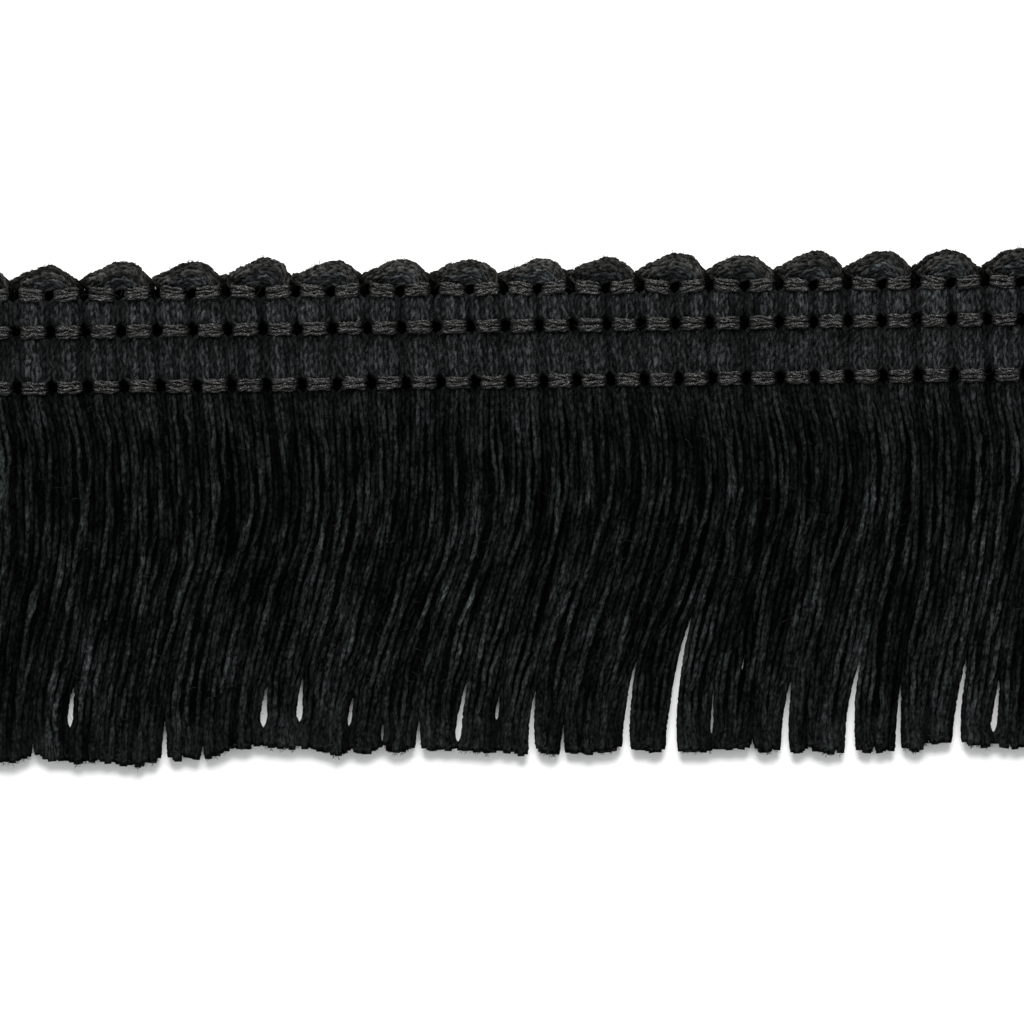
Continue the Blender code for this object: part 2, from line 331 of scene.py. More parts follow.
@dataclass
class Strands:
    """Centre lines of several yarns with as many rings each.

    All but the centres hold one number a ring, yarns by rings.
    """

    centres: np.ndarray  # ring centres, yarns by rings by three
    radii: np.ndarray  # radius
    turns: np.ndarray  # angle of the plies
    tones: np.ndarray  # lightness
    shades: np.ndarray  # how dark painted shade makes the side that faces up, under other yarns
    flanks: np.ndarray  # how dark painted shade makes the other sides, between its neighbours
    felted: np.ndarray  # how far the plies have merged, 1 for a plain round yarn
    plies: np.ndarray  # lightness and thickness of each ply, as parts of the yarn's
    finishes: np.ndarray  # which material, counted from 0

    @classmethod
    def along(cls, centres: np.ndarray, radius: float) -> Strands:
        """Plain strands of one radius.

        Args:
            centres: ring centres, yarns by rings by three
            radius: their radius

        Returns:
            The strands, evenly lit and with level plies.
        """
        zeros = np.zeros(centres.shape[:2])
        even = {name: zeros for name in ("turns", "shades", "flanks", "felted")}
        radii, plies = zeros + radius, np.ones(zeros.shape + (3,))
        finishes = zeros.astype(int)
        return cls(centres, radii, tones=zeros + 1, plies=plies, finishes=finishes, **even)

    def lengths(self) -> np.ndarray:
        """Arc length from the first ring to each ring, yarns by rings."""
        steps = np.linalg.norm(np.diff(self.centres, axis=1), axis=2)
        return np.concatenate([np.zeros((len(steps), 1)), np.cumsum(steps, axis=1)], axis=1)


def paired(u: np.ndarray, v: np.ndarray) -> np.ndarray:
    """Rows of u and v, each spread out to the shape of both."""
    return np.stack(np.broadcast_arrays(u, v), axis=-1).reshape(-1, 2)


def unit(vectors: np.ndarray) -> np.ndarray:
    """The same directions with length one."""
    return vectors / np.linalg.norm(vectors, axis=-1, keepdims=True)


class MeshDraft:
    """Many closed tubes on their way to one mesh, with a bake layout of one strip a tube."""

    STEP = 37.0  # how far apart the patterns of neighbouring tubes start
    UNDERSIDE, TOPSIDE = 0.6, 0.8  # how shade comes on with the rise of a side
    MARGIN, END = 0.05, 0.02  # empty edge of a strip beside its tube and past its ends

    def __init__(self, strips: int, banks: int = 1) -> None:
        """Starts an empty draft.

        Args:
            strips: how many tubes lie side by side in the bake layout
            banks: how many such sets of strips lie one above the other
        """
        self.strips = strips
        self.banks = banks
        self.tubes = 0
        self.size = 0
        self.parts: dict[str, list[np.ndarray]] = defaultdict(list)

    def add(
        self, strands: Strands, section: Section, up: tuple[float, float, float] = UP
    ) -> None:
        """Adds a closed tube round each centre line.

        A corner stands off the centre by radius times outline, turned by the ply angle from
        the direction square to both the tangent and `up`. Corners keep to their ply from ring
        to ring, so that crests and grooves wind round the yarn. Fans close both ends. The
        straight coordinates are where the corner would be with the yarn pulled straight.

        Args:
            strands: the centre lines
            section: the outline
            up: a direction that no centre line runs along
        """
        angles, outline, nearest = section.outline()
        tubes, rings = strands.radii.shape
        sides = len(angles)
        tangents = unit(np.gradient(strands.centres, axis=1))
        across = unit(np.cross(np.array(up), tangents))
        over = np.cross(tangents, across)
        phase = angles + strands.turns[..., None]
        merged = outline + (outline.mean() - outline) * strands.felted[..., None]
        plies = strands.plies[..., nearest]
        reach = strands.radii[..., None] * merged * (1 - PLY_SWELL + PLY_SWELL * plies)
        flat = np.stack([reach * np.cos(phase), reach * np.sin(phase)], axis=-1)
        walls = (
            strands.centres[:, :, None]
            + flat[..., :1] * across[:, :, None]
            + flat[..., 1:] * over[:, :, None]
        )
        lengths = strands.lengths()
        offset = self.STEP * (self.tubes + np.arange(tubes))[:, None]
        along = np.broadcast_to((lengths + offset)[..., None, None], reach.shape + (1,))
        straight = np.concatenate([flat, along], axis=-1)
        ends = [0, -1]
        end_along = (lengths + offset)[:, ends, None]
        end_straight = np.concatenate([np.zeros((tubes, 2, 2)), end_along], axis=2)
        # Painted shade on the upper side under other yarns and on the flanks between them.
        rises = np.cos(phase) * across[..., 2:] + np.sin(phase) * over[..., 2:]
        rising = np.clip(self.UNDERSIDE + self.TOPSIDE * rises, 0, 1)
        lit = 1 - strands.shades[..., None] * rising
        lit = lit * (1 - strands.flanks[..., None] * (1 - np.clip(rises, 0, 1)))
        tones = strands.tones[..., None] * lit * plies
        end_points = strands.centres[:, ends]
        self.parts["points"] += [walls.reshape(-1, 3), end_points.reshape(-1, 3)]
        self.parts["straight"] += [straight.reshape(-1, 3), end_straight.reshape(-1, 3)]
        self.parts["tones"] += [tones.ravel(), strands.tones[:, ends].ravel()]

        ring = np.arange(sides)
        ahead = (ring + 1) % sides
        first = self.size + np.arange(tubes * rings).reshape(tubes, rings) * sides
        low, high = first[:, :-1, None], first[:, 1:, None]
        quads = [low + ring, low + ahead, high + ahead, high + ring]
        self.parts["quads"].append(np.stack(quads, axis=-1).reshape(-1, 4))
        chosen = np.repeat(strands.finishes[:, :-1, None], sides, axis=2)
        self.parts["quad_finishes"].append(chosen.ravel())
        centre = self.size + tubes * rings * sides + np.arange(tubes)[:, None] * 2
        centre = np.broadcast_to(centre, (tubes, sides))
        start, stop = first[:, :1], first[:, -1:]
        fans = (centre, start + ahead, start + ring), (centre + 1, stop + ring, stop + ahead)
        for end, fan in zip(ends, fans):
            self.parts["fans"].append(np.stack(fan, axis=-1).reshape(-1, 3))
            chosen = np.repeat(strands.finishes[:, end, None], sides, axis=1)
            self.parts["fan_finishes"].append(chosen.ravel())

        bank, strip = np.divmod((self.tubes + np.arange(tubes))[:, None], self.strips)
        width, height = 1 - 2 * self.MARGIN, 1 - 2 * self.END
        left = (strip + self.MARGIN + width * ring / sides) / self.strips
        right = (strip + self.MARGIN + width * (ring + 1) / sides) / self.strips
        share = (bank + self.END + height * lengths / lengths[:, -1:]) / self.banks
        low, high = share[:, :-1, None], share[:, 1:, None]
        u = np.stack([left, right, right, left], axis=-1)[:, None]
        v = np.stack([low, low, high, high], axis=-1)
        self.parts["quad_uvs"].append(paired(u, v))
        middle = (left + right) / 2
        inner, outer = self.END, self.END / 2
        for levels, edges in (
            ((outer, inner, inner), (right, left)),
            ((1 - outer, 1 - inner, 1 - inner), (left, right)),
        ):
            u = np.stack([middle, *edges], axis=-1)
            v = (bank[..., None] + np.array(levels)) / self.banks
            self.parts["fan_uvs"].append(paired(u, v))
        self.tubes += tubes
        self.size += tubes * (rings * sides + 2)

    def to_object(self, name: str, materials: list[bpy.types.Material]) -> bpy.types.Object:
        """Writes the mesh in metres and links it to the scene.

        Args:
            name: name of the object
            materials: its finishes

        Returns:
            The new object, at the origin.
        """
        parts = {key: np.concatenate(found) for key, found in self.parts.items()}
        quads, fans = parts["quads"], parts["fans"]
        corners = np.concatenate([quads.ravel(), fans.ravel()])
        starts = [np.arange(len(quads)) * 4, quads.size + np.arange(len(fans)) * 3]
        starts = np.concatenate(starts)
        mesh = bpy.data.meshes.new(name)
        mesh.vertices.add(self.size)
        mesh.vertices.foreach_set("co", (parts["points"] * MM).ravel())
        mesh.loops.add(len(corners))
        mesh.loops.foreach_set("vertex_index", corners.astype(np.int32))
        mesh.polygons.add(len(starts))
        mesh.polygons.foreach_set("loop_start", starts.astype(np.int32))
        mesh.update(calc_edges=True)
        layer = mesh.uv_layers.new(name="OFBake")
        uvs = np.concatenate([parts["quad_uvs"], parts["fan_uvs"]])
        layer.uv.foreach_set("vector", uvs.astype(np.float32).ravel())
        straight = mesh.attributes.new("yarn_mm", "FLOAT_VECTOR", "POINT")
        straight.data.foreach_set("vector", parts["straight"].ravel())
        tone = mesh.attributes.new("tone", "FLOAT", "POINT")
        tone.data.foreach_set("value", parts["tones"])
        mesh.shade_smooth()
        for material in materials:
            mesh.materials.append(material)
        chosen = np.concatenate([parts["quad_finishes"], parts["fan_finishes"]])
        mesh.polygons.foreach_set("material_index", chosen.astype(np.int32))
        made = bpy.data.objects.new(name, mesh)
        bpy.context.scene.collection.objects.link(made)
        LOG.info("%s: %d triangles", name, 2 * len(quads) + len(fans))
        return made


def resample(path: np.ndarray, spacing: np.ndarray, rings: int) -> np.ndarray:
    """Spreads rings along a densely drawn line.

    Args:
        path: points of the line
        spacing: wanted distance between rings at each point
        rings: how many rings to make; the spacing is scaled to fit

    Returns:
        The ring centres.
    """
    steps = np.linalg.norm(np.diff(path, axis=0), axis=1)
    pace = np.concatenate([[0.0], np.cumsum(steps * 2 / (spacing[1:] + spacing[:-1]))])
    wanted = np.linspace(0.0, pace[-1], rings)
    return np.stack([np.interp(wanted, pace, axis) for axis in path.T], axis=1)


def flowing(points: np.ndarray, steps: int) -> np.ndarray:
    """Catmull-Rom line through a few points.

    Args:
        points: points to pass through, the first and last only steering
        steps: how many pieces each span is cut into

    Returns:
        Points of the line from the second point to the last but one.
    """
    before, start, stop, after = points[:-3], points[1:-2], points[2:-1], points[3:]
    t = (np.arange(steps) / steps)[None, :, None]
    before, start, stop, after = (p[:, None] for p in (before, start, stop, after))
    line = 0.5 * (
        2 * start
        + (stop - before) * t
        + (2 * before - 5 * start + 4 * stop - after) * t**2
        + (3 * start - before - 3 * stop + after) * t**3
    )
    return np.concatenate([line.reshape(-1, points.shape[1]), points[-2:-1]])


class Swing(Enum):
    """Slow random swings along a line, as pairs of wavelength and height."""

    BORDER = ((9.0, 0.04), (19.0, 0.11))
    GATHER = ((9.0, 0.5),)
    FRINGE = ((1.7, 0.02), (3.3, 0.045), (7.0, 0.07), (21.0, 0.22))
    COLUMN = ((2.4, 0.035), (5.0, 0.06))
    HEIGHT = ((4.0, 0.06), (9.0, 0.09), (23.0, 0.10))
    SCALLOP = ((1.3, 0.03), (2.9, 0.05))
    TONE = ((5.0, 0.12), (13.0, 0.14))
    TURNS = ((2.3, 0.15), (5.3, 0.35), (11.0, 0.5))
    PLY = ((0.9, 0.16), (2.1, 0.20), (5.0, 0.16))
    WINDING = ((0.9, 0.4), (1.7, 0.6), (4.3, 0.6))
    STITCH_Y = ((0.19, 0.03), (0.43, 0.055), (2.3, 0.04))
    STITCH_Z = ((0.27, 0.03), (0.61, 0.03))
    THREAD_TONE = ((0.5, 0.2), (1.3, 0.25), (13.0, 0.2))
    BACK_THREAD = ((6.9, 0.08),)


def waver(rng: np.random.Generator, along: np.ndarray, swing: Swing) -> np.ndarray:
    """Slow random swing along a line, as a sum of sines of random phase.

    Args:
        rng: random numbers
        along: distance along the line, or along one line in each row
        swing: which swing

    Returns:
        The swing at each distance.
    """
    total = np.zeros_like(along)
    for length, height in swing.value:
        lines = along.shape[:-1] + (1,)
        stretch = length * rng.uniform(0.8, 1.25, lines)
        phase = rng.uniform(0, 2 * np.pi, lines)
        total += height * np.sin(2 * np.pi * along / stretch + phase)
    return total


# --------------------------------------------------------------------------- finishes


def linear_colour(code: str) -> Colour:
    """Linear colour of an sRGB hex code.

    Args:
        code: the colour, such as "#202428"

    Returns:
        Red, green and blue in linear light, and an alpha of one.
    """
    shares = [int(code[i : i + 2], 16) / 255 for i in (1, 3, 5)]
    red, green, blue = (
        s / 12.92 if s <= 0.04045 else ((s + 0.055) / 1.055) ** 2.4 for s in shares
    )
    return red, green, blue, 1.0


def add_node(
    material: bpy.types.Material, kind: str, inputs: dict | None = None, **settings
) -> bpy.types.Node:
    """Adds one node to a material.

    Args:
        material: where it goes
        kind: the node's type
        inputs: a value or an output socket for each input, by its name or number
        settings: properties of the node itself

    Returns:
        The new node.
    """
    made = material.node_tree.nodes.new(kind)
    for key, value in settings.items():
        setattr(made, key, value)
    for key, value in (inputs or {}).items():
        if isinstance(value, bpy.types.NodeSocket):
            material.node_tree.links.new(value, made.inputs[key])
        else:
            made.inputs[key].default_value = value
    return made


def new_material(name: str) -> bpy.types.Material:
    """Makes a material without any node.

    Args:
        name: name of the material

    Returns:
        The new material.
    """
    made = bpy.data.materials.new(name)
    made.use_nodes = True
    made.node_tree.nodes.clear()
    return made


def add_surface(material: bpy.types.Material, inputs: dict) -> None:
    """Ends a material in one Principled shader with these inputs."""
    shader = add_node(material, "ShaderNodeBsdfPrincipled", inputs)
    add_node(material, "ShaderNodeOutputMaterial", {"Surface": shader.outputs["BSDF"]})


@dataclass(frozen=True)
class YarnFinish:
    """Dyed yarn whose fibres run along it."""

    name: str  # name of the material
    dark: str  # colour between the fibres
    light: str  # colour of the fibres that catch the light
    roughness: float  # how dull it is
    gloss: float  # how much it mirrors, 0.5 for plain plastic
    sheen: float  # how strongly the fuzz glows at glancing angles
    fibre_mm: float  # width of a drawn fibre
    run_mm: float  # length of a drawn fibre
    relief_mm: float  # how far the fibres stand out
    contrast: tuple[float, float] = (0.35, 0.7)  # span of the pattern from dark to light
    fuzz_colour: str = "#D2D8D8"  # colour of the glow of the fuzz
    fuzz_roughness: float = 0.45  # how widely it glows

    def build(self) -> bpy.types.Material:
        """Makes the material, whose patterns follow the yarn's own straight coordinates.

        Returns:
            The new material.
        """
        made = new_material(self.name)
        place = add_node(made, "ShaderNodeAttribute", attribute_name="yarn_mm")
        tone = add_node(made, "ShaderNodeAttribute", attribute_name="tone")
        scale = (1 / self.fibre_mm, 1 / self.fibre_mm, 1 / self.run_mm)
        inputs = {0: place.outputs["Vector"], 1: scale}
        stretched = add_node(made, "ShaderNodeVectorMath", inputs, operation="MULTIPLY")
        # Single fibres are finer than can be drawn, so each drawn one stands for a few.
        inputs = {"Vector": stretched.outputs[0], "Scale": 1.0, "Detail": 2.0}
        fibres = add_node(made, "ShaderNodeTexNoise", inputs).outputs["Fac"]
        low, high = self.contrast
        inputs = {"Value": fibres, "From Min": low, "From Max": high}
        spread = add_node(made, "ShaderNodeMapRange", inputs)
        colours = linear_colour(self.dark), linear_colour(self.light)
        inputs = {0: spread.outputs[0], 6: colours[0], 7: colours[1]}
        mixed = add_node(made, "ShaderNodeMix", inputs, data_type="RGBA")
        # The tone holds each yarn's uneven dyeing and painted shade: darker ends, hidden parts.
        inputs = {0: mixed.outputs[2], "Scale": tone.outputs["Fac"]}
        toned = add_node(made, "ShaderNodeVectorMath", inputs, operation="SCALE")
        inputs = {"Height": fibres, "Distance": self.relief_mm * MM, "Strength": 1.0}
        bump = add_node(made, "ShaderNodeBump", inputs)
        surface = {
            "Base Color": toned.outputs[0],
            "Roughness": self.roughness,
            "Specular IOR Level": self.gloss,
            "Sheen Weight": self.sheen,
            "Sheen Roughness": self.fuzz_roughness,
            "Sheen Tint": linear_colour(self.fuzz_colour),
            "Normal": bump.outputs[0],
        }
        add_surface(made, surface)
        return made


# Cool black with a soft gloss, because the stitches pull the yarn tight.
BOUND_COTTON = YarnFinish(
    name="black_plied_cotton",
    dark="#0E1010",
    light="#353839",
    roughness=0.6,
    gloss=0.04,
    sheen=0.015,
    fibre_mm=0.30,
    run_mm=0.8,
    relief_mm=0.25,
    contrast=(0.42, 0.61),
)

# The same yarn hanging loose: duller, and darker for want of gloss.
# It also carries painted shade: darker than the bound yarn, and the dull finish in the holes.
LOOSE_AND_SHADE_COTTON = YarnFinish(
    name="black_brushed_cotton_and_shade",
    dark="#070808",
    light="#292C2C",
    roughness=0.75,
    gloss=0.005,
    sheen=0.003,
    fibre_mm=0.26,
    run_mm=0.6,
    relief_mm=0.20,
    contrast=(0.34, 0.72),
)

# The same yarn on the rim of a scallop, where light shines through its fuzz.
RIM_COTTON = replace(
    BOUND_COTTON,
    name="black_fuzzy_cotton",
    dark="#0F0F0E",
    light="#393937",
    roughness=0.7,
    gloss=0.03,
    sheen=0.02,
    run_mm=0.6,
    relief_mm=0.30,
)

# Warmer black that keeps narrow bright glints along the filaments.
FILAMENT = YarnFinish(
    name="black_filament_thread",
    dark="#030303",
    light="#2D2D2B",
    roughness=0.25,
    gloss=0.25,
    sheen=0.0,
    fibre_mm=0.24,
    run_mm=0.4,
    relief_mm=0.30,
    contrast=(0.42, 0.62),
)

# Lone fibres let light through and look a little brown.
LONE_FIBRE = YarnFinish(
    name="black_cotton_fuzz",
    dark="#100E0D",
    light="#33302E",
    roughness=0.75,
    gloss=0.01,
    sheen=0.007,
    fibre_mm=0.26,
    run_mm=0.6,
    relief_mm=0.05,
)


@dataclass(frozen=True)
class FloorFinish:
    """Plain pale paper with no pattern."""

    name: str = "pale_paper"
    colour: str = "#F4F4F3"
    roughness: float = 0.9

    def build(self) -> bpy.types.Material:
        """Makes the material.

        Returns:
            The new material.
        """
        made = new_material(self.name)
        colour = linear_colour(self.colour)
        add_surface(made, {"Base Color": colour, "Roughness": self.roughness})
        return made


# ---------------------------------------------------------------------------- hairpins


@dataclass(frozen=True)
class Layer:
    """One layer of yarns in a hairpin bundle."""

    section: Section  # outline of its yarns
    groups: tuple[int, ...]  # how many yarns lie side by side in each clump of the fringe
    gather: float  # how far a clump draws together, as a share of the way to its middle
    border: float  # how far the outermost lies from its border, as a share of the column
    fringe_border: float  # the same in the fringe, between the outermost places there
    radius: float  # radius of a yarn in the heading
    neck_radius: float  # the same where a chain row binds it
    fringe_radius: float  # the same where it hangs loose
    tip_radius: float  # the same at its felted cut end
    bulge_z: float  # height of the middle yarns between two rows
    crown: float  # how much lower the outermost yarns lie
    neck_z: float  # height under a chain row
    fringe_z: float  # height in the fringe
    tip_z: float  # height at the felted cut end
    squeeze: float  # share of the width that a chain row takes away
    wander: float  # how far it swings in the fringe, in parts of the face yarns' swing
    shade: float  # how dark painted shade makes its upper side, under the face yarns
    flank: float  # how dark painted shade makes its other sides in the fringe
    heading_step: float  # ring spacing in the heading
    fringe_step: float  # ring spacing in the fringe
    rings: int  # rings of one yarn

    @property
    def yarns(self) -> int:
        """How many yarns lie side by side."""
        return sum(self.groups)

    def shares(self) -> np.ndarray:
        """Where each yarn lies, from the outer border, 0, to the one beside the eye, 1."""
        return np.linspace(self.border, 1 - self.border, self.yarns)

    def clumps(self, rng: np.random.Generator) -> np.ndarray:
        """Deals the yarns out to clumps, which come in random order.

        Args:
            rng: random numbers

        Returns:
            The middle of the clump that each yarn belongs to.
        """
        sizes = rng.permutation(self.groups)
        group = np.repeat(np.arange(len(sizes)), sizes)
        return (np.bincount(group, self.shares()) / sizes)[group]


FACE_LAYER = Layer(
    section=Section.FACE,
    groups=(2, 2, 3),
    gather=0.30,
    border=0.07,
    fringe_border=0.0,
    radius=0.38,
    neck_radius=0.26,
    fringe_radius=0.31,
    tip_radius=0.50,
    bulge_z=1.26,
    crown=0.32,
    neck_z=1.18,
    fringe_z=1.00,
    tip_z=0.90,
    squeeze=0.38,
    wander=1.0,
    shade=0.0,
    flank=0.78,
    heading_step=0.25,
    fringe_step=0.45,
    rings=264,
)

BACK_LAYER = Layer(
    section=Section.BACK,
    groups=(1, 1, 1, 1, 1),
    gather=0.0,
    border=0.04,
    fringe_border=0.03,
    radius=0.41,
    neck_radius=0.30,
    fringe_radius=0.53,
    tip_radius=0.50,
    bulge_z=0.42,
    crown=0.0,
    neck_z=0.50,
    fringe_z=0.47,
    tip_z=0.72,
    squeeze=0.04,
    wander=0.15,
    shade=0.93,
    flank=0.0,
    heading_step=0.45,
    fringe_step=0.7,
    rings=164,
)


@dataclass(frozen=True)
class ScallopPoint:
    """One station round the eye: where its outermost and its innermost yarn pass."""

    outer_x: float
    outer_y: float
    inner_x: float
    inner_y: float


FACE_SCALLOP = table(
    ScallopPoint,
    (-3.10, 9.85, -0.90, 9.62),
    (-4.10, 10.62, -0.84, 9.75),
    (-3.35, 10.97, -0.72, 9.86),
    (-2.10, 11.60, -0.50, 9.98),
    (-0.30, 12.14, 0.00, 10.06),
    (1.05, 11.87, 0.36, 10.00),
    (1.85, 11.24, 0.58, 9.88),
    (2.25, 10.35, 0.70, 9.66),
)

BACK_SCALLOP = table(
    ScallopPoint,
    (-3.50, 9.90, -0.45, 9.40),
    (-3.95, 10.50, -0.45, 9.48),
    (-3.25, 10.80, -0.40, 9.56),
    (-2.05, 11.40, -0.30, 9.64),
    (-0.30, 11.92, -0.10, 9.70),
    (1.05, 11.68, 0.05, 9.64),
    (2.00, 11.00, 0.08, 9.56),
    (2.80, 10.25, 0.05, 9.40),
)

# Underside and top of the bundle at each station, from left to right.
SCALLOP_SPANS = (
    *((0.10, 1.50), (0.10, 1.60), (0.05, 1.80), (0.00, 1.95)),
    *((0.00, 2.05), (0.00, 2.00), (0.10, 1.85), (0.10, 1.70)),
)


@dataclass(frozen=True)
class Lopside:
    """How much higher than most one scallop stands: on its left, its top and its right."""

    left: float
    top: float
    right: float


LOPSIDE_X = (-4.0, -2.1, -0.3, 1.85, 2.3)  # where they raise it, from end to end
LOPSIDES = table(
    Lopside,
    (-0.05, -0.05, -0.20),
    (-0.13, -0.19, -0.50),
    (-0.04, 0.07, 0.20),
    (-0.03, 0.05, 0.06),
    (-0.09, 0.21, 0.42),
    (-0.20, -0.12, 0.08),
    (-0.09, -0.02, -0.16),
    (-0.03, -0.25, -0.24),
    (-0.33, -0.15, -0.03),
    (-0.18, -0.19, -0.17),
    (0.03, 0.14, 0.20),
    (0.07, -0.12, -0.30),
    (0.05, 0.17, 0.09),
    (0.13, 0.15, 0.04),
    (0.36, 0.08, -0.36),
    (0.38, 0.20, 0.00),
)


# Lightness across a column: painted shade at its edges, most on its right, turned from the
# light.
ACROSS = Ramp((0.0, 0.2, 0.5, 0.8, 1.0), (0.60, 1.12, 1.08, 0.88, 0.42))
# Lightness by height above the lower row: painted shade, most under it and in the wide band
# above its middle, where the bars of the middle row cast their shadow.
BY_HEIGHT = Ramp(
    (-27.0, -18.0, -5.0, -1.0, 0.0, 3.0, 4.9, 5.6, 6.5),
    (0.68, 0.56, 0.49, 0.67, 0.70, 0.62, 0.35, 0.72, 0.80),
)
# Lightness of a scallop by distance to the right of its eye: painted shade at both ends.
ROUND_EYE = Ramp((-4.1, -2.8, 1.5, 2.5), (0.65, 1.0, 1.0, 0.7))
# How much painted shade darkens a strand for each millimetre that it lies lower, by height.
SUNK = Ramp((-30.0, -22.0, -12.0, -4.0), (3.3, 4.8, 4.8, 2.6))
# How far the plies have merged just below the lower row, by height.
MERGED = Ramp((-4.0, -0.3), (0.45, 0.0))


@dataclass(frozen=True)
class Hairpin:
    """One weft bundle: yarns up one column, round a scallop and down the next column."""

    layout: Layout  # where columns and locks stand
    index: int  # which hairpin, counted from the left end
    eye_x: float = 0.45  # how far its eye lies to the right of the middle between the columns
    lay: float = 2.6  # length of one turn of the plies in the heading
    loose_lay: float = 4.0  # the same in the fringe
    felt_length: float = 5.0  # how long the felted ends are
    wide_gap: float = 0.15  # width of a gap beside which strands lie inside their lock
    pull: float = 0.05  # how far a chain row draws its yarns to the right
    steady: float = 0.7  # how much less a lock's sides swing than its middle
    calm: float = 0.2  # how much less still where they hang calm
    aside: float = 0.25  # how far a strand hangs to one side throughout
    palest: float = 1.32  # lightness of the palest yarns
    dye_spread: float = 0.46  # how far the others are darker
    darkest: float = 0.36  # lightness of the darkest
    thicknesses: tuple[float, float] = (0.88, 1.12)  # span of the yarns' uneven thickness
    tip_light: float = 0.8  # how much less shade lies on the felted ends
    tip_evenness: float = 0.5  # how much less their plies swell
    end_length: float = 0.2  # length over which a yarn narrows to its end
    end_taper: float = 0.3  # share of its section that it loses there
    patchy: float = 0.10  # how strong the uneven lightness is in the heading
    patchier: float = 0.12  # how much stronger in the fringe
    flank_bound: float = 0.3  # share of the fringe's painted flank shade that the heading has
    ragged: float = 0.18  # how unevenly the ends are cut
    cut_wave: float = 0.16  # how far the line of the cut swings
    corner: float = 0.25  # how much shorter the ends are cut at a lock's sides
    leg_top: float = 0.3  # how far above the upper row a leg is drawn
    leg_step: float = 0.1  # distance between its points
    falling: Rise = Rise(0.0, 6.0)  # depths in which the strands come down from the bulge
    thinning: Rise = Rise(0.0, 4.0)  # depths in which they take on the fringe's width
    untwisting: Rise = Rise(0.0, 8.0)  # depths in which their plies open up
    patching: Rise = Rise(0.0, 6.0)  # depths in which they take on uneven lightness
    flanking: Rise = Rise(0.0, 2.0)  # depths in which painted shade darkens their flanks
    calming: Rise = Rise(20.0, 6.0)  # depths below which a lock's sides hang still
    sides: Rise = Rise(0.3, 0.4)  # how far from a column's middle yarns count as its sides
    seams: Rise = Rise(0.5, 0.3)  # the same for the yarns that turn down into a seam
    seam_reach: float = 1.6  # how far from a row painted shade darkens the seams
    seam_shade: float = 0.65  # how much darker the painted shade makes them
    seam_top: float = 9.4  # height at which they end
    swerving: Rise = Rise(8.8, 1.2)  # heights at which yarns leave their places in the column
    rounding: Rise = Rise(9.8, 0.6)  # heights at which they start to swing round the eye
    shading: Rise = Rise(9.4, 0.6)  # heights at which the light of the scallop takes over
    rim_y: float = 9.9  # height above which the outermost yarns have the finish of the rim

    @property
    def eye(self) -> float:
        """x of the eye that the scallop goes round."""
        return float(self.layout.border(2 * self.index + 1, Row.UPPER.value)) + self.eye_x

    def leg(
        self, layer: Layer, share: float, clump: float, side: int, rng: np.random.Generator
    ) -> np.ndarray:
        """Line of one yarn from its cut end to the top of its column.

        Across, it keeps its share of the way between the column's borders, which close in
        round each chain row by a bell curve. Its height bulges between rows. In the fringe it
        swings slowly to and fro, more the farther it hangs.

        Args:
            layer: the layer it lies in
            share: its place, from the outer border to the eye
            clump: the place of the middle of its clump
            side: 0 for the left column, 1 for the right one
            rng: random numbers

        Returns:
            Points of the line.
        """
        column = 2 * self.index + side
        place = 1 - share if side else share
        off_middle = abs(2 * place - 1)
        edges = LOCK_EDGES[column : column + 2]
        length = blend(edges[0].length, edges[1].length, place)
        length -= self.corner * off_middle**3
        tip_x = blend(edges[0].tip_x, edges[1].tip_x, place)
        wave = float(patches(np.array(2.0 * tip_x), 0.0))
        length += self.cut_wave * wave + rng.uniform(-self.ragged, self.ragged)
        y = np.arange(-length, Row.UPPER.value + self.leg_top, self.leg_step)
        depth = np.maximum(-y, 0.0)
        left, right = self.layout.edge(column, y, 1), self.layout.edge(column + 1, y, -1)
        loose = self.layout.loosening.at(depth)
        spread = (1 - 2 * layer.fringe_border) / (1 - 2 * layer.border)
        place_now = 0.5 + (place - 0.5) * (1 + (spread - 1) * loose)
        tip = smooth_step(1 - (length - depth) / self.felt_length)
        outermost = self.sides.at(off_middle)
        gather = layer.gather * loose * (1 - tip) * (1 - outermost)
        gather = gather * (1 + waver(rng, y, Swing.GATHER))
        place_now = place_now + gather * (clump - share) * (-1 if side else 1)
        # Beside an open gap a strand lies wholly inside its lock, elsewhere half inside.
        reach = blend(layer.fringe_radius, layer.tip_radius, tip)
        insets = []
        for border in (column, column + 1):
            open_now = LOCK_EDGES[border].gap * self.layout.apart(border, y)
            clear = np.minimum(open_now / self.wide_gap, 1.0)
            insets.append(reach * loose * (0.5 + 0.5 * clear))
        x = left + insets[0] + place_now * (right - left - insets[0] - insets[1])
        middle = (left + right) / 2
        bind = bound(y)
        x = middle + self.pull * bind + (x - middle) * (1 - layer.squeeze * bind)
        beside = 1 - outermost * (self.steady + self.calm * self.calming.at(depth))
        swing = waver(rng, y, Swing.FRINGE) + rng.uniform(-self.aside, self.aside)
        x = x + loose * layer.wander * beside * swing
        x = x + (1 - loose) * waver(rng, y, Swing.COLUMN)
        bulge = layer.bulge_z - layer.crown * (2 * place - 1) ** 2
        z = blend(bulge, layer.fringe_z, self.falling.at(depth))
        z = blend(z, layer.tip_z, tip)
        bind = np.minimum(bind, 1.0)
        z = blend(z, layer.neck_z, bind)
        z = z + (1 - tip) * (1 - bind) * layer.wander * waver(rng, y, Swing.HEIGHT)
        z = np.maximum(z, layer.radius + CLEARANCE)
        return np.stack([x, y, z], axis=1)

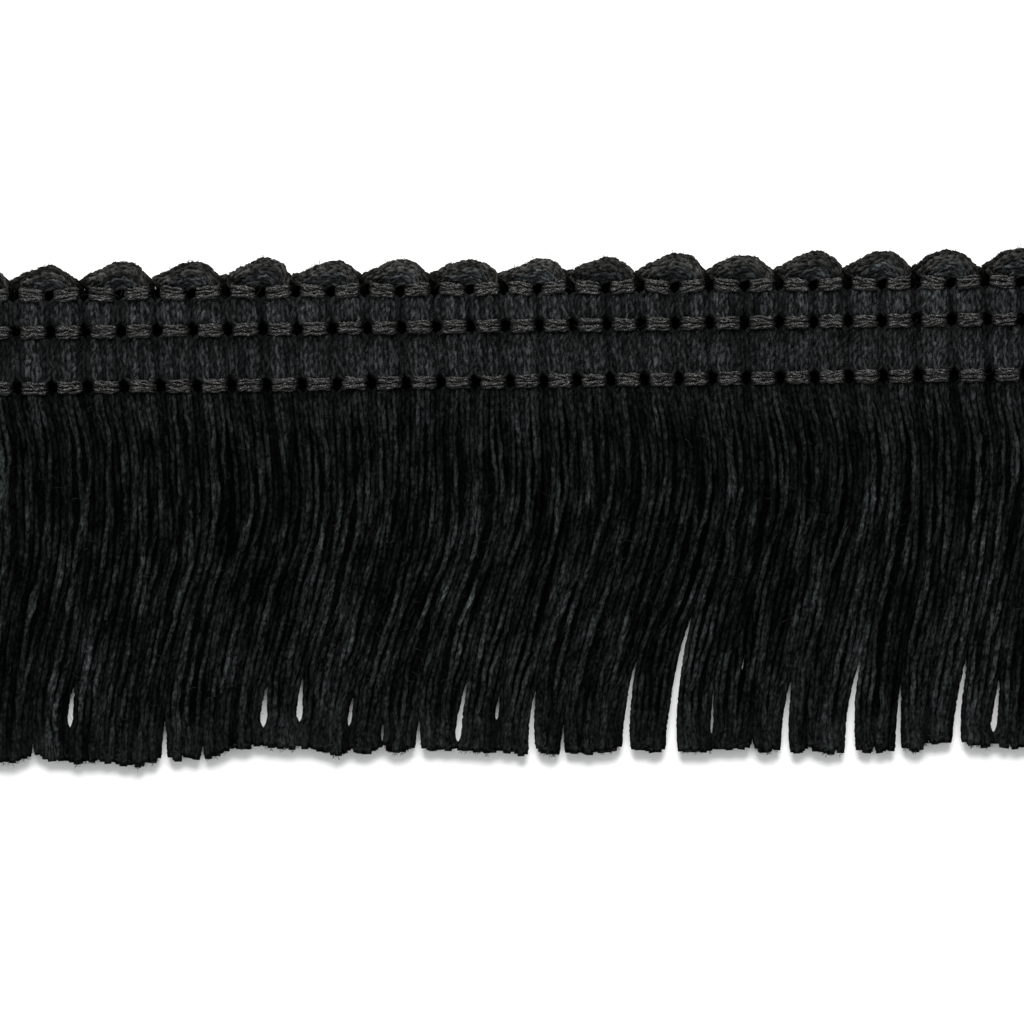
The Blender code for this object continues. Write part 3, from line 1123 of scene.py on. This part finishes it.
    def scallop(self, layer: Layer, share: float) -> np.ndarray:
        """Stations of one yarn round the eye.

        The yarn keeps its share of the way from the outer to the inner edge of the scallop.
        Its height follows half an ellipse across the bundle, the upper half for face yarns
        and the lower half for back yarns.

        Args:
            layer: the layer it lies in
            share: its place, from the outer border to the eye

        Returns:
            Its stations.
        """
        face = layer.section is Section.FACE
        points = FACE_SCALLOP if face else BACK_SCALLOP
        stations = np.array([list(vars(point).values()) for point in points])
        outer_x, outer_y, inner_x, inner_y = stations.T
        bottom, top = np.array(SCALLOP_SPANS).T
        across = (share - layer.border) / (1 - 2 * layer.border)
        uneven = LOPSIDES[self.index]
        raises = (0.0, uneven.left, uneven.top, uneven.right, 0.0)
        raised = np.interp(outer_x, LOPSIDE_X, raises)
        x = self.eye + outer_x + across * (inner_x - outer_x)
        y = blend(outer_y, inner_y, across) + (1 - across) * raised
        rise = math.sqrt(max(1 - (2 * share - 1) ** 2, 0.0)) * (1 if face else -1)
        z = (bottom + top) / 2 + ((top - bottom) / 2 - layer.radius) * rise
        return np.stack([x, y, z], axis=1)

    def line(
        self, layer: Layer, share: float, clumps: tuple, rng: np.random.Generator
    ) -> np.ndarray:
        """Rings of one yarn from cut end round the eye to cut end.

        Args:
            layer: the layer it lies in
            share: its place, from the outer border to the eye
            clumps: the place of the middle of its clump in each column
            rng: random numbers

        Returns:
            The ring centres.
        """
        up = self.leg(layer, share, clumps[0], 0, rng)
        down = self.leg(layer, share, clumps[1], 1, rng)[::-1]
        # The legs' last points make way for the scallop and only steer its line.
        round_eye = np.concatenate([up[-6:-4], self.scallop(layer, share), down[4:6]])
        dense = np.concatenate([up[:-5], flowing(round_eye, 16), down[5:]])
        spacing = np.interp(dense[:, 1], (-8.0, -2.0), (layer.fringe_step, layer.heading_step))
        rings = resample(dense, spacing, layer.rings)
        high = self.rounding.at(rings[:, 1])[:, None]
        along = np.linspace(0.0, 100.0, layer.rings)
        rings += high * np.stack([waver(rng, along, Swing.SCALLOP) for _ in range(3)], axis=1)
        rings[:, 1] += self.layout.lower_row_y
        return rings

    def dye_and_shade(self, share: float, rings: np.ndarray, rng: np.random.Generator) -> np.ndarray:
        """Lightness along one yarn: its own dyeing, and painted shade by its place in the
        column.

        Args:
            share: its place, from the outer border to the eye
            rings: its ring centres
            rng: random numbers

        Returns:
            The lightness at each ring.
        """
        first = np.arange(len(rings)) < len(rings) / 2
        uneven = waver(rng, rings[:, 1], Swing.TONE)
        height = rings[:, 1] - self.layout.lower_row_y
        place = np.where(first, share, 1 - share) - 0.5
        place = 0.5 + place * (1 - self.swerving.at(height))
        # Painted shade across the column, as it turns from the light.
        turned = ACROSS.at(place)
        # Beside the holes the outermost yarns turn down into the seam between two columns.
        # Painted shade darkens them there.
        near = sum(np.exp(-(((height - row.value) / self.seam_reach) ** 2)) for row in Row)
        seam = self.seams.at(abs(2 * place - 1)) * np.minimum(near, 1.0)
        turned = turned * (1 - self.seam_shade * seam * smooth_step(self.seam_top - height))
        # The yarn's own dye, darker at random.
        shade = max(self.palest - self.dye_spread * abs(rng.normal()), self.darkest)
        return (shade + uneven) * turned

    def strands(self, layer: Layer, rng: np.random.Generator) -> Strands:
        """Every yarn of one layer, from cut end round the eye to cut end.

        Args:
            layer: which layer
            rng: random numbers

        Returns:
            The yarns, with their widths, plies, lightness and finishes.
        """
        centres, tones = [], []
        clumps = zip(layer.clumps(rng), layer.clumps(rng))
        for share, pair in zip(layer.shares(), clumps):
            centres.append(self.line(layer, share, pair, rng))
            tones.append(self.dye_and_shade(share, centres[-1], rng))
        made = Strands.along(np.array(centres), layer.radius)
        made.tones = np.array(tones)
        lengths = made.lengths()
        to_end = np.minimum(lengths, lengths[:, -1:] - lengths)
        tip = smooth_step(1 - to_end / self.felt_length)
        y = made.centres[..., 1] - self.layout.lower_row_y
        bind = np.minimum(bound(y), 1.0)
        width = blend(layer.radius, layer.fringe_radius, self.thinning.at(-y))
        width = width * rng.uniform(*self.thicknesses, (len(y), 1))
        width = blend(width, layer.tip_radius, tip)
        width = blend(width, layer.neck_radius, bind)
        ending = np.clip(1 - to_end / self.end_length, 0, 1)
        made.radii = width * np.sqrt(1 - self.end_taper * ending**2)
        made.felted = np.maximum(tip, MERGED.at(y))
        lay = blend(self.lay, self.loose_lay, self.untwisting.at(-y))
        start = rng.uniform(0, 2 * np.pi, (len(y), 1))
        wound = 2 * np.pi * np.cumsum(np.diff(lengths, axis=1) / lay[:, 1:], axis=1)
        made.turns = np.concatenate([start, start + wound], axis=1)
        made.turns += waver(rng, lengths, Swing.TURNS)
        swells = np.stack([waver(rng, lengths, Swing.PLY) for _ in range(3)], axis=-1)
        made.plies = 1 + swells * (1 - self.tip_evenness * tip[..., None])
        lowest = made.radii * (1 - PLY_SWELL + PLY_SWELL * made.plies.max(axis=-1)) + 0.005
        made.centres[..., 2] = np.maximum(made.centres[..., 2], lowest)
        self.darken(made, layer, tip, bind)
        return made

    def darken(self, made: Strands, layer: Layer, tip: np.ndarray, bind: np.ndarray) -> None:
        """Gives the yarns of one layer their painted light and shade, and their finishes.

        Args:
            made: the yarns
            layer: their layer
            tip: how far each ring belongs to a felted end
            bind: how tightly each is bound
        """
        x, y, z = np.moveaxis(made.centres, 2, 0)
        y = y - self.layout.lower_row_y
        dim = BY_HEIGHT.at(y)
        dim = dim * (1 + (ROUND_EYE.at(x - self.eye) - 1) * self.shading.at(y))
        # Yarns that lie lower than their neighbours get painted shade, most so halfway down.
        hanging = self.thinning.at(-y) * (1 - tip)
        sunk = (z - layer.fringe_z) * hanging * layer.wander * SUNK.at(y)
        uneven = patches(x, y) * (self.patchy + self.patchier * self.patching.at(-y))
        made.tones = made.tones * dim * np.exp(sunk + uneven)
        if layer.section is Section.BACK:
            made.shades = blend(layer.shade, 1, bind) * (1 - self.tip_light * tip)
        hidden = self.flank_bound + (1 - self.flank_bound) * self.flanking.at(-y)
        made.flanks = layer.flank * hidden * (1 - self.tip_light * tip)
        # Loose finish: the fringe, and as painted shade the back yarns deep in the holes.
        made.finishes = ((y < 0) | (made.shades > 0.95)).astype(int)
        made.finishes[:3][y[:3] > self.rim_y] = 2 if layer.section is Section.FACE else 0

    def build(self, finishes: list[bpy.types.Material]) -> Strands:
        """Makes the bundle in place of its CAD solid.

        Args:
            finishes: the bound cotton, the loose cotton (also painted shade) and the rim's
                cotton

        Returns:
            The face yarns, for the fuzz that grows on them.
        """
        rng = np.random.default_rng(SEED + self.index)
        draft = MeshDraft(FACE_LAYER.yarns + BACK_LAYER.yarns)
        face, back = (self.strands(layer, rng) for layer in (FACE_LAYER, BACK_LAYER))
        draft.add(face, Section.FACE)
        draft.add(back, Section.BACK)
        number = f"{self.index + 1:02d}"
        made = draft.to_object(f"hairpin_yarns_{number}", finishes)
        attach(made, "root")
        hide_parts(f"yarn_hairpin_{number}")
        return face


# -------------------------------------------------------------------------- chain rows


# Lightness of a chain thread by height: painted shade, dark down in the holes.
THREAD_DEPTH = Ramp((0.9, 1.38), (0.0, 1.0))
# Its lightness along a stitch, by share of the pitch.
# Painted light: brighter at the left end, which faces the light, shaded at the right.
ALONG_STITCH = Ramp((0.25, 0.4, 0.75, 0.9), (1.12, 1.0, 0.95, 0.8))


@dataclass(frozen=True)
class ChainRow:
    """One row of chain stitches: two legs over every column and a thread along the back."""

    layout: Layout  # where columns stand
    row: Row  # which row
    zigzag: float = 0.0  # how far the dips beside eyes and valleys lie off the row's line
    tone: float = 1.0  # lightness of its threads
    threads: int = 6  # how many threads make a leg
    thread_radius: float = 0.16  # radius of one of them
    thread_offset: float = 0.22  # how far each stands off the middle of its leg
    flatness: float = 0.55  # height of a leg as a share of its width
    tight: float = 0.4  # share of its width that a leg keeps down between columns
    spread: float = 0.31  # half the distance between the legs on top of a column
    pinch: float = 0.10  # the same down between two columns
    bar_z: float = 1.56  # height of the legs on top
    dip_z: float = 0.40  # height of the legs down between columns
    rise: tuple[float, float] = (0.13, 0.23)  # shares of the pitch where a leg comes up
    fall: tuple[float, float] = (0.79, 0.96)  # shares of the pitch where it goes down
    lay: float = 11.0  # length of one turn of the threads
    rings_per_stitch: int = 20  # rings of a leg in one stitch
    shaded_z: float = 1.15  # height below which the threads take a dull finish, as painted shade
    crown: float = 0.06  # how much higher a leg lies in the middle of a column
    back_radius: float = 0.24  # radius of the thread along the back
    back_rings: int = 260  # its rings
    back_shade: float = 0.95  # how dark painted shade makes its upper side, under the yarns
    overrun: float = 0.1  # how far it reaches past the outermost columns

    def legs(self, rng: np.random.Generator) -> Strands:
        """The threads of both legs of the row, wavy from end to end.

        A leg goes down between columns and up over each, by an eased ramp of the share of
        the pitch. The two come together in the dips and part on top, and the threads of a
        leg wind round its middle.

        Args:
            rng: random numbers

        Returns:
            Their centre lines.
        """
        layout = self.layout
        steps = layout.columns * self.rings_per_stitch
        t = np.linspace(0.0, layout.columns, steps * 4 + 1)
        lines = []
        inside = np.mod(t, 1.0)
        up = smooth_step((inside - self.rise[0]) / (self.rise[1] - self.rise[0]))
        up = up * smooth_step((self.fall[1] - inside) / (self.fall[1] - self.fall[0]))
        for side, ply in [(side, ply) for side in (1, -1) for ply in range(self.threads)]:
            wound = 2 * np.pi * (t * layout.pitch * side / self.lay + ply / self.threads)
            wound = wound + waver(rng, t, Swing.WINDING)
            y = layout.lower_row_y + self.row.value + self.zigzag * np.cos(np.pi * t)
            y = y + side * blend(self.pinch, self.spread, up)
            y = y + self.thread_offset * np.cos(wound) * (self.tight + (1 - self.tight) * up)
            y = y + waver(rng, t, Swing.STITCH_Y)
            z = blend(self.dip_z, self.bar_z, up)
            z = z + self.flatness * self.thread_offset * np.sin(wound)
            z = z + self.crown * up * (1 - (2 * inside - 1) ** 2)
            z = z + waver(rng, t, Swing.STITCH_Z)
            dense = np.stack([layout.border(t, self.row.value), y, z], axis=1)
            lines.append(resample(dense, np.ones(len(dense)), steps))
        made = Strands.along(np.array(lines), self.thread_radius)
        x, z = made.centres[..., 0], made.centres[..., 2]
        at = np.interp(x, layout.border(t, self.row.value), t)
        uneven = 1 + waver(rng, made.lengths(), Swing.THREAD_TONE)
        lit = self.tone * ALONG_STITCH.at(np.mod(at, 1.0))
        made.tones = THREAD_DEPTH.at(z) * uneven * lit
        made.finishes = (z < self.shaded_z).astype(int)
        return made

    def back(self, rng: np.random.Generator) -> Strands:
        """The thread along the back of the row, nearly straight.

        Args:
            rng: random numbers

        Returns:
            Its centre line.
        """
        layout = self.layout
        half = layout.columns * layout.pitch / 2 + self.overrun
        x = np.linspace(-half, half, self.back_rings)
        x = x + layout.lean * max(1 - self.row.value / Row.MIDDLE.value, 0.0)
        y = layout.lower_row_y + self.row.value + waver(rng, x, Swing.BACK_THREAD)
        z = np.full_like(x, self.back_radius + CLEARANCE)
        made = Strands.along(np.stack([x, y, z], axis=1)[None], self.back_radius)
        made.shades += self.back_shade
        return made

    def build(self, finishes: list[bpy.types.Material]) -> bpy.types.Object:
        """Makes the row in place of its CAD solid.

        Args:
            finishes: the filament thread, and the dull finish of painted shade down in the
                holes

        Returns:
            The new piece.
        """
        rng = np.random.default_rng(SEED + 100 + int(self.row.value * 10))
        draft = MeshDraft(2 * self.threads + 1)
        draft.add(self.legs(rng), Section.THREAD, (0.0, 1.0, 0.0))
        draft.add(self.back(rng), Section.THREAD)
        name = self.row.name.lower()
        made = draft.to_object(f"chain_stitches_{name}", finishes)
        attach(made, "root")
        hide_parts(f"chain_{name}")
        return made


# -------------------------------------------------------------------------------- fuzz


class Growth(Enum):
    """Where fuzz grows: from and to which share of a yarn's rings, and how many a hairpin."""

    SCALLOP = (0.468, 0.532, 60)
    HEADING = (0.36, 0.64, 20)
    FRINGE = (0.02, 0.30, 10)
    OTHER_FRINGE = (0.70, 0.98, 10)
    CUT_END = (0.0, 0.004, 40)
    OTHER_CUT_END = (0.996, 1.0, 40)


@dataclass(frozen=True)
class Fuzz:
    """Loose fibres that stand off the face yarns."""

    radius: float = 0.016  # radius of a drawn fibre, which stands for a few real ones
    shortest: float = 0.4  # length of the shortest
    longest: float = 1.5  # length of the longest
    rings: int = 5  # rings of one fibre
    tone: float = 1.1  # how much lighter than the yarn a lone fibre looks
    spread: tuple[float, float] = (0.7, 0.6)  # how far it slants at scallops and cut ends
    stub: float = 0.25  # length of the fibres at cut ends, as a share of the others'
    rim_length: float = 0.5  # the same on the outermost yarn of a scallop
    rises: tuple[float, float] = (0.05, 0.6)  # span of how steeply they rise
    cut_rises: tuple[float, float] = (-0.2, 0.3)  # the same at cut ends
    droop: float = 0.6  # how much less they rise towards their ends
    root: float = 0.85  # how high above a yarn's middle they start, of 1 for its top
    rim_root: float = 0.3  # the same on the outermost yarn of a scallop

    def grown(self, face: Strands, growth: Growth, rng: np.random.Generator) -> np.ndarray:
        """Fibres of one hairpin in one place.

        Each starts on the upper side of a random face yarn and leaves it at a random slant,
        mostly outward at cut ends and on the outermost yarn of the scallop. It bends
        steadily, as a quarter of a circle or less.

        Args:
            face: the face yarns
            growth: where to grow
            rng: random numbers

        Returns:
            Centre lines, fibres by rings by three.
        """
        first, last, count = growth.value
        yarns, rings = face.radii.shape
        outer = growth is Growth.SCALLOP
        yarn = np.zeros(count, int) if outer else rng.integers(0, yarns, count)
        ring = (rng.uniform(first, last, count) * (rings - 1)).astype(int)
        root = face.centres[yarn, ring]
        heading = rng.uniform(0, 2 * np.pi, count)
        cut = growth in (Growth.CUT_END, Growth.OTHER_CUT_END)
        if outer:
            heading = np.pi / 2 + rng.normal(0, self.spread[0], count)
        elif cut:
            heading = -np.pi / 2 + rng.normal(0, self.spread[1], count)
        rise = rng.uniform(*self.rises, count)
        length = rng.uniform(self.shortest, self.longest, count)
        length = length * (self.rim_length if outer else 1.0)
        if cut:
            length = length * self.stub
            rise = rng.uniform(*self.cut_rises, count)
        bend = rng.normal(0, 1.0, count)
        t = np.linspace(0.0, 1.0, self.rings)[None]
        angle = heading[:, None] + bend[:, None] * t
        steps = length[:, None] / (self.rings - 1)
        x = np.cumsum(np.cos(angle), axis=1) * steps
        y = np.cumsum(np.sin(angle), axis=1) * steps
        z = rise[:, None] * length[:, None] * t * (1 - self.droop * t)
        offset = face.radii[yarn, ring] * (self.rim_root if outer else self.root)
        root = root + np.stack([0 * offset, 0 * offset, offset], axis=1)
        return root[:, None] + np.stack([x, y, z], axis=2)

    def build(self, faces: list[Strands], finish: bpy.types.Material) -> None:
        """Makes all fibres as one piece.

        Args:
            faces: the face yarns of every hairpin
            finish: the finish of a lone fibre
        """
        rng = np.random.default_rng(SEED + 500)
        lines = np.concatenate(
            [self.grown(face, growth, rng) for face in faces for growth in Growth]
        )
        made = Strands.along(lines, self.radius)
        made.tones += self.tone - 1
        banks = math.ceil(math.sqrt(len(lines)))
        draft = MeshDraft(math.ceil(len(lines) / banks), banks)
        draft.add(made, Section.FIBRE)
        piece = draft.to_object("yarn_fuzz", [finish])
        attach(piece, "root")


# ------------------------------------------------------------------------------ studio


@dataclass(frozen=True)
class Studio:
    """Pale floor, soft light from behind the scallops and a camera straight above."""

    floor_size: float = 3.0  # side of the floor in metres
    camera_mm: tuple[float, float, float] = (0.34, -0.30, 1.5)  # where the camera looks
    turn: float = -0.014  # how far the camera is turned, in radians
    lens: float = 200.0  # focal length in millimetres
    reach_mm: float = 102.4  # width of the view
    surround: float = 0.66  # strength of the even light from all sides
    surround_colour: str = "#FDFFFF"  # its colour
    box_power: float = 14.5  # power of the soft box in watts
    box_size: tuple[float, float] = (0.6, 0.55)  # its sides in metres
    box_at: tuple[float, float, float] = (0.0, 0.67, 0.53)  # its place in metres

    def build_floor(self) -> None:
        """Lays the floor under the trim."""
        half = self.floor_size / 2
        mesh = bpy.data.meshes.new("floor")
        corners = [(-half, -half, 0), (half, -half, 0), (half, half, 0), (-half, half, 0)]
        mesh.from_pydata(corners, [], [(0, 1, 2, 3)])
        mesh.materials.append(FloorFinish().build())
        floor = bpy.data.objects.new("floor", mesh)
        bpy.context.scene.collection.objects.link(floor)

    def build_light(self) -> None:
        """Sets an even bright surround and one large soft light on the scallop side."""
        world = bpy.data.worlds.new("surround")
        world.use_nodes = True
        inputs = world.node_tree.nodes["Background"].inputs
        inputs["Color"].default_value = linear_colour(self.surround_colour)
        inputs["Strength"].default_value = self.surround
        data = bpy.data.lights.new("soft_box", "AREA")
        data.shape = "RECTANGLE"
        data.size, data.size_y = self.box_size
        data.energy = self.box_power
        lamp = bpy.data.objects.new("soft_box", data)
        lamp.location = self.box_at
        away = np.array(lamp.location)
        tilt = math.acos(away[2] / float(np.linalg.norm(away)))
        lamp.rotation_euler = (tilt, 0.0, math.atan2(away[1], away[0]) + math.pi / 2)
        scene = bpy.context.scene
        scene.world = world
        scene.collection.objects.link(lamp)
        scene.view_settings.view_transform = "Standard"

    def build_camera(self) -> None:
        """Hangs the camera straight above the trim, far off behind a long lens."""
        data = bpy.data.cameras.new("camera")
        data.lens = self.lens
        camera = bpy.data.objects.new("camera", data)
        x, y, z = self.camera_mm
        away = self.reach_mm * self.lens / data.sensor_width
        camera.location = (x * MM, y * MM, (z + away) * MM)
        camera.rotation_euler = (0.0, 0.0, self.turn)
        bpy.context.scene.collection.objects.link(camera)
        bpy.context.scene.camera = camera

    def build(self) -> None:
        """Makes floor, light and camera."""
        self.build_floor()
        self.build_light()
        self.build_camera()


# -------------------------------------------------------------------------------- main


def main() -> None:
    """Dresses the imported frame."""
    logging.basicConfig(level=logging.INFO, format="%(message)s")
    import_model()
    layout = Layout()
    cottons = [BOUND_COTTON.build(), LOOSE_AND_SHADE_COTTON.build(), RIM_COTTON.build()]
    faces = [Hairpin(layout, index).build(cottons) for index in range(layout.hairpins)]
    Fuzz().build(faces, LONE_FIBRE.build())
    threads = [FILAMENT.build(), cottons[1]]
    ChainRow(layout, Row.LOWER, tone=0.80).build(threads)
    ChainRow(layout, Row.MIDDLE, tone=0.88).build(threads)
    ChainRow(layout, Row.UPPER, zigzag=0.13, tone=1.12).build(threads)
    Studio().build()


if __name__ == "__main__":
    main()
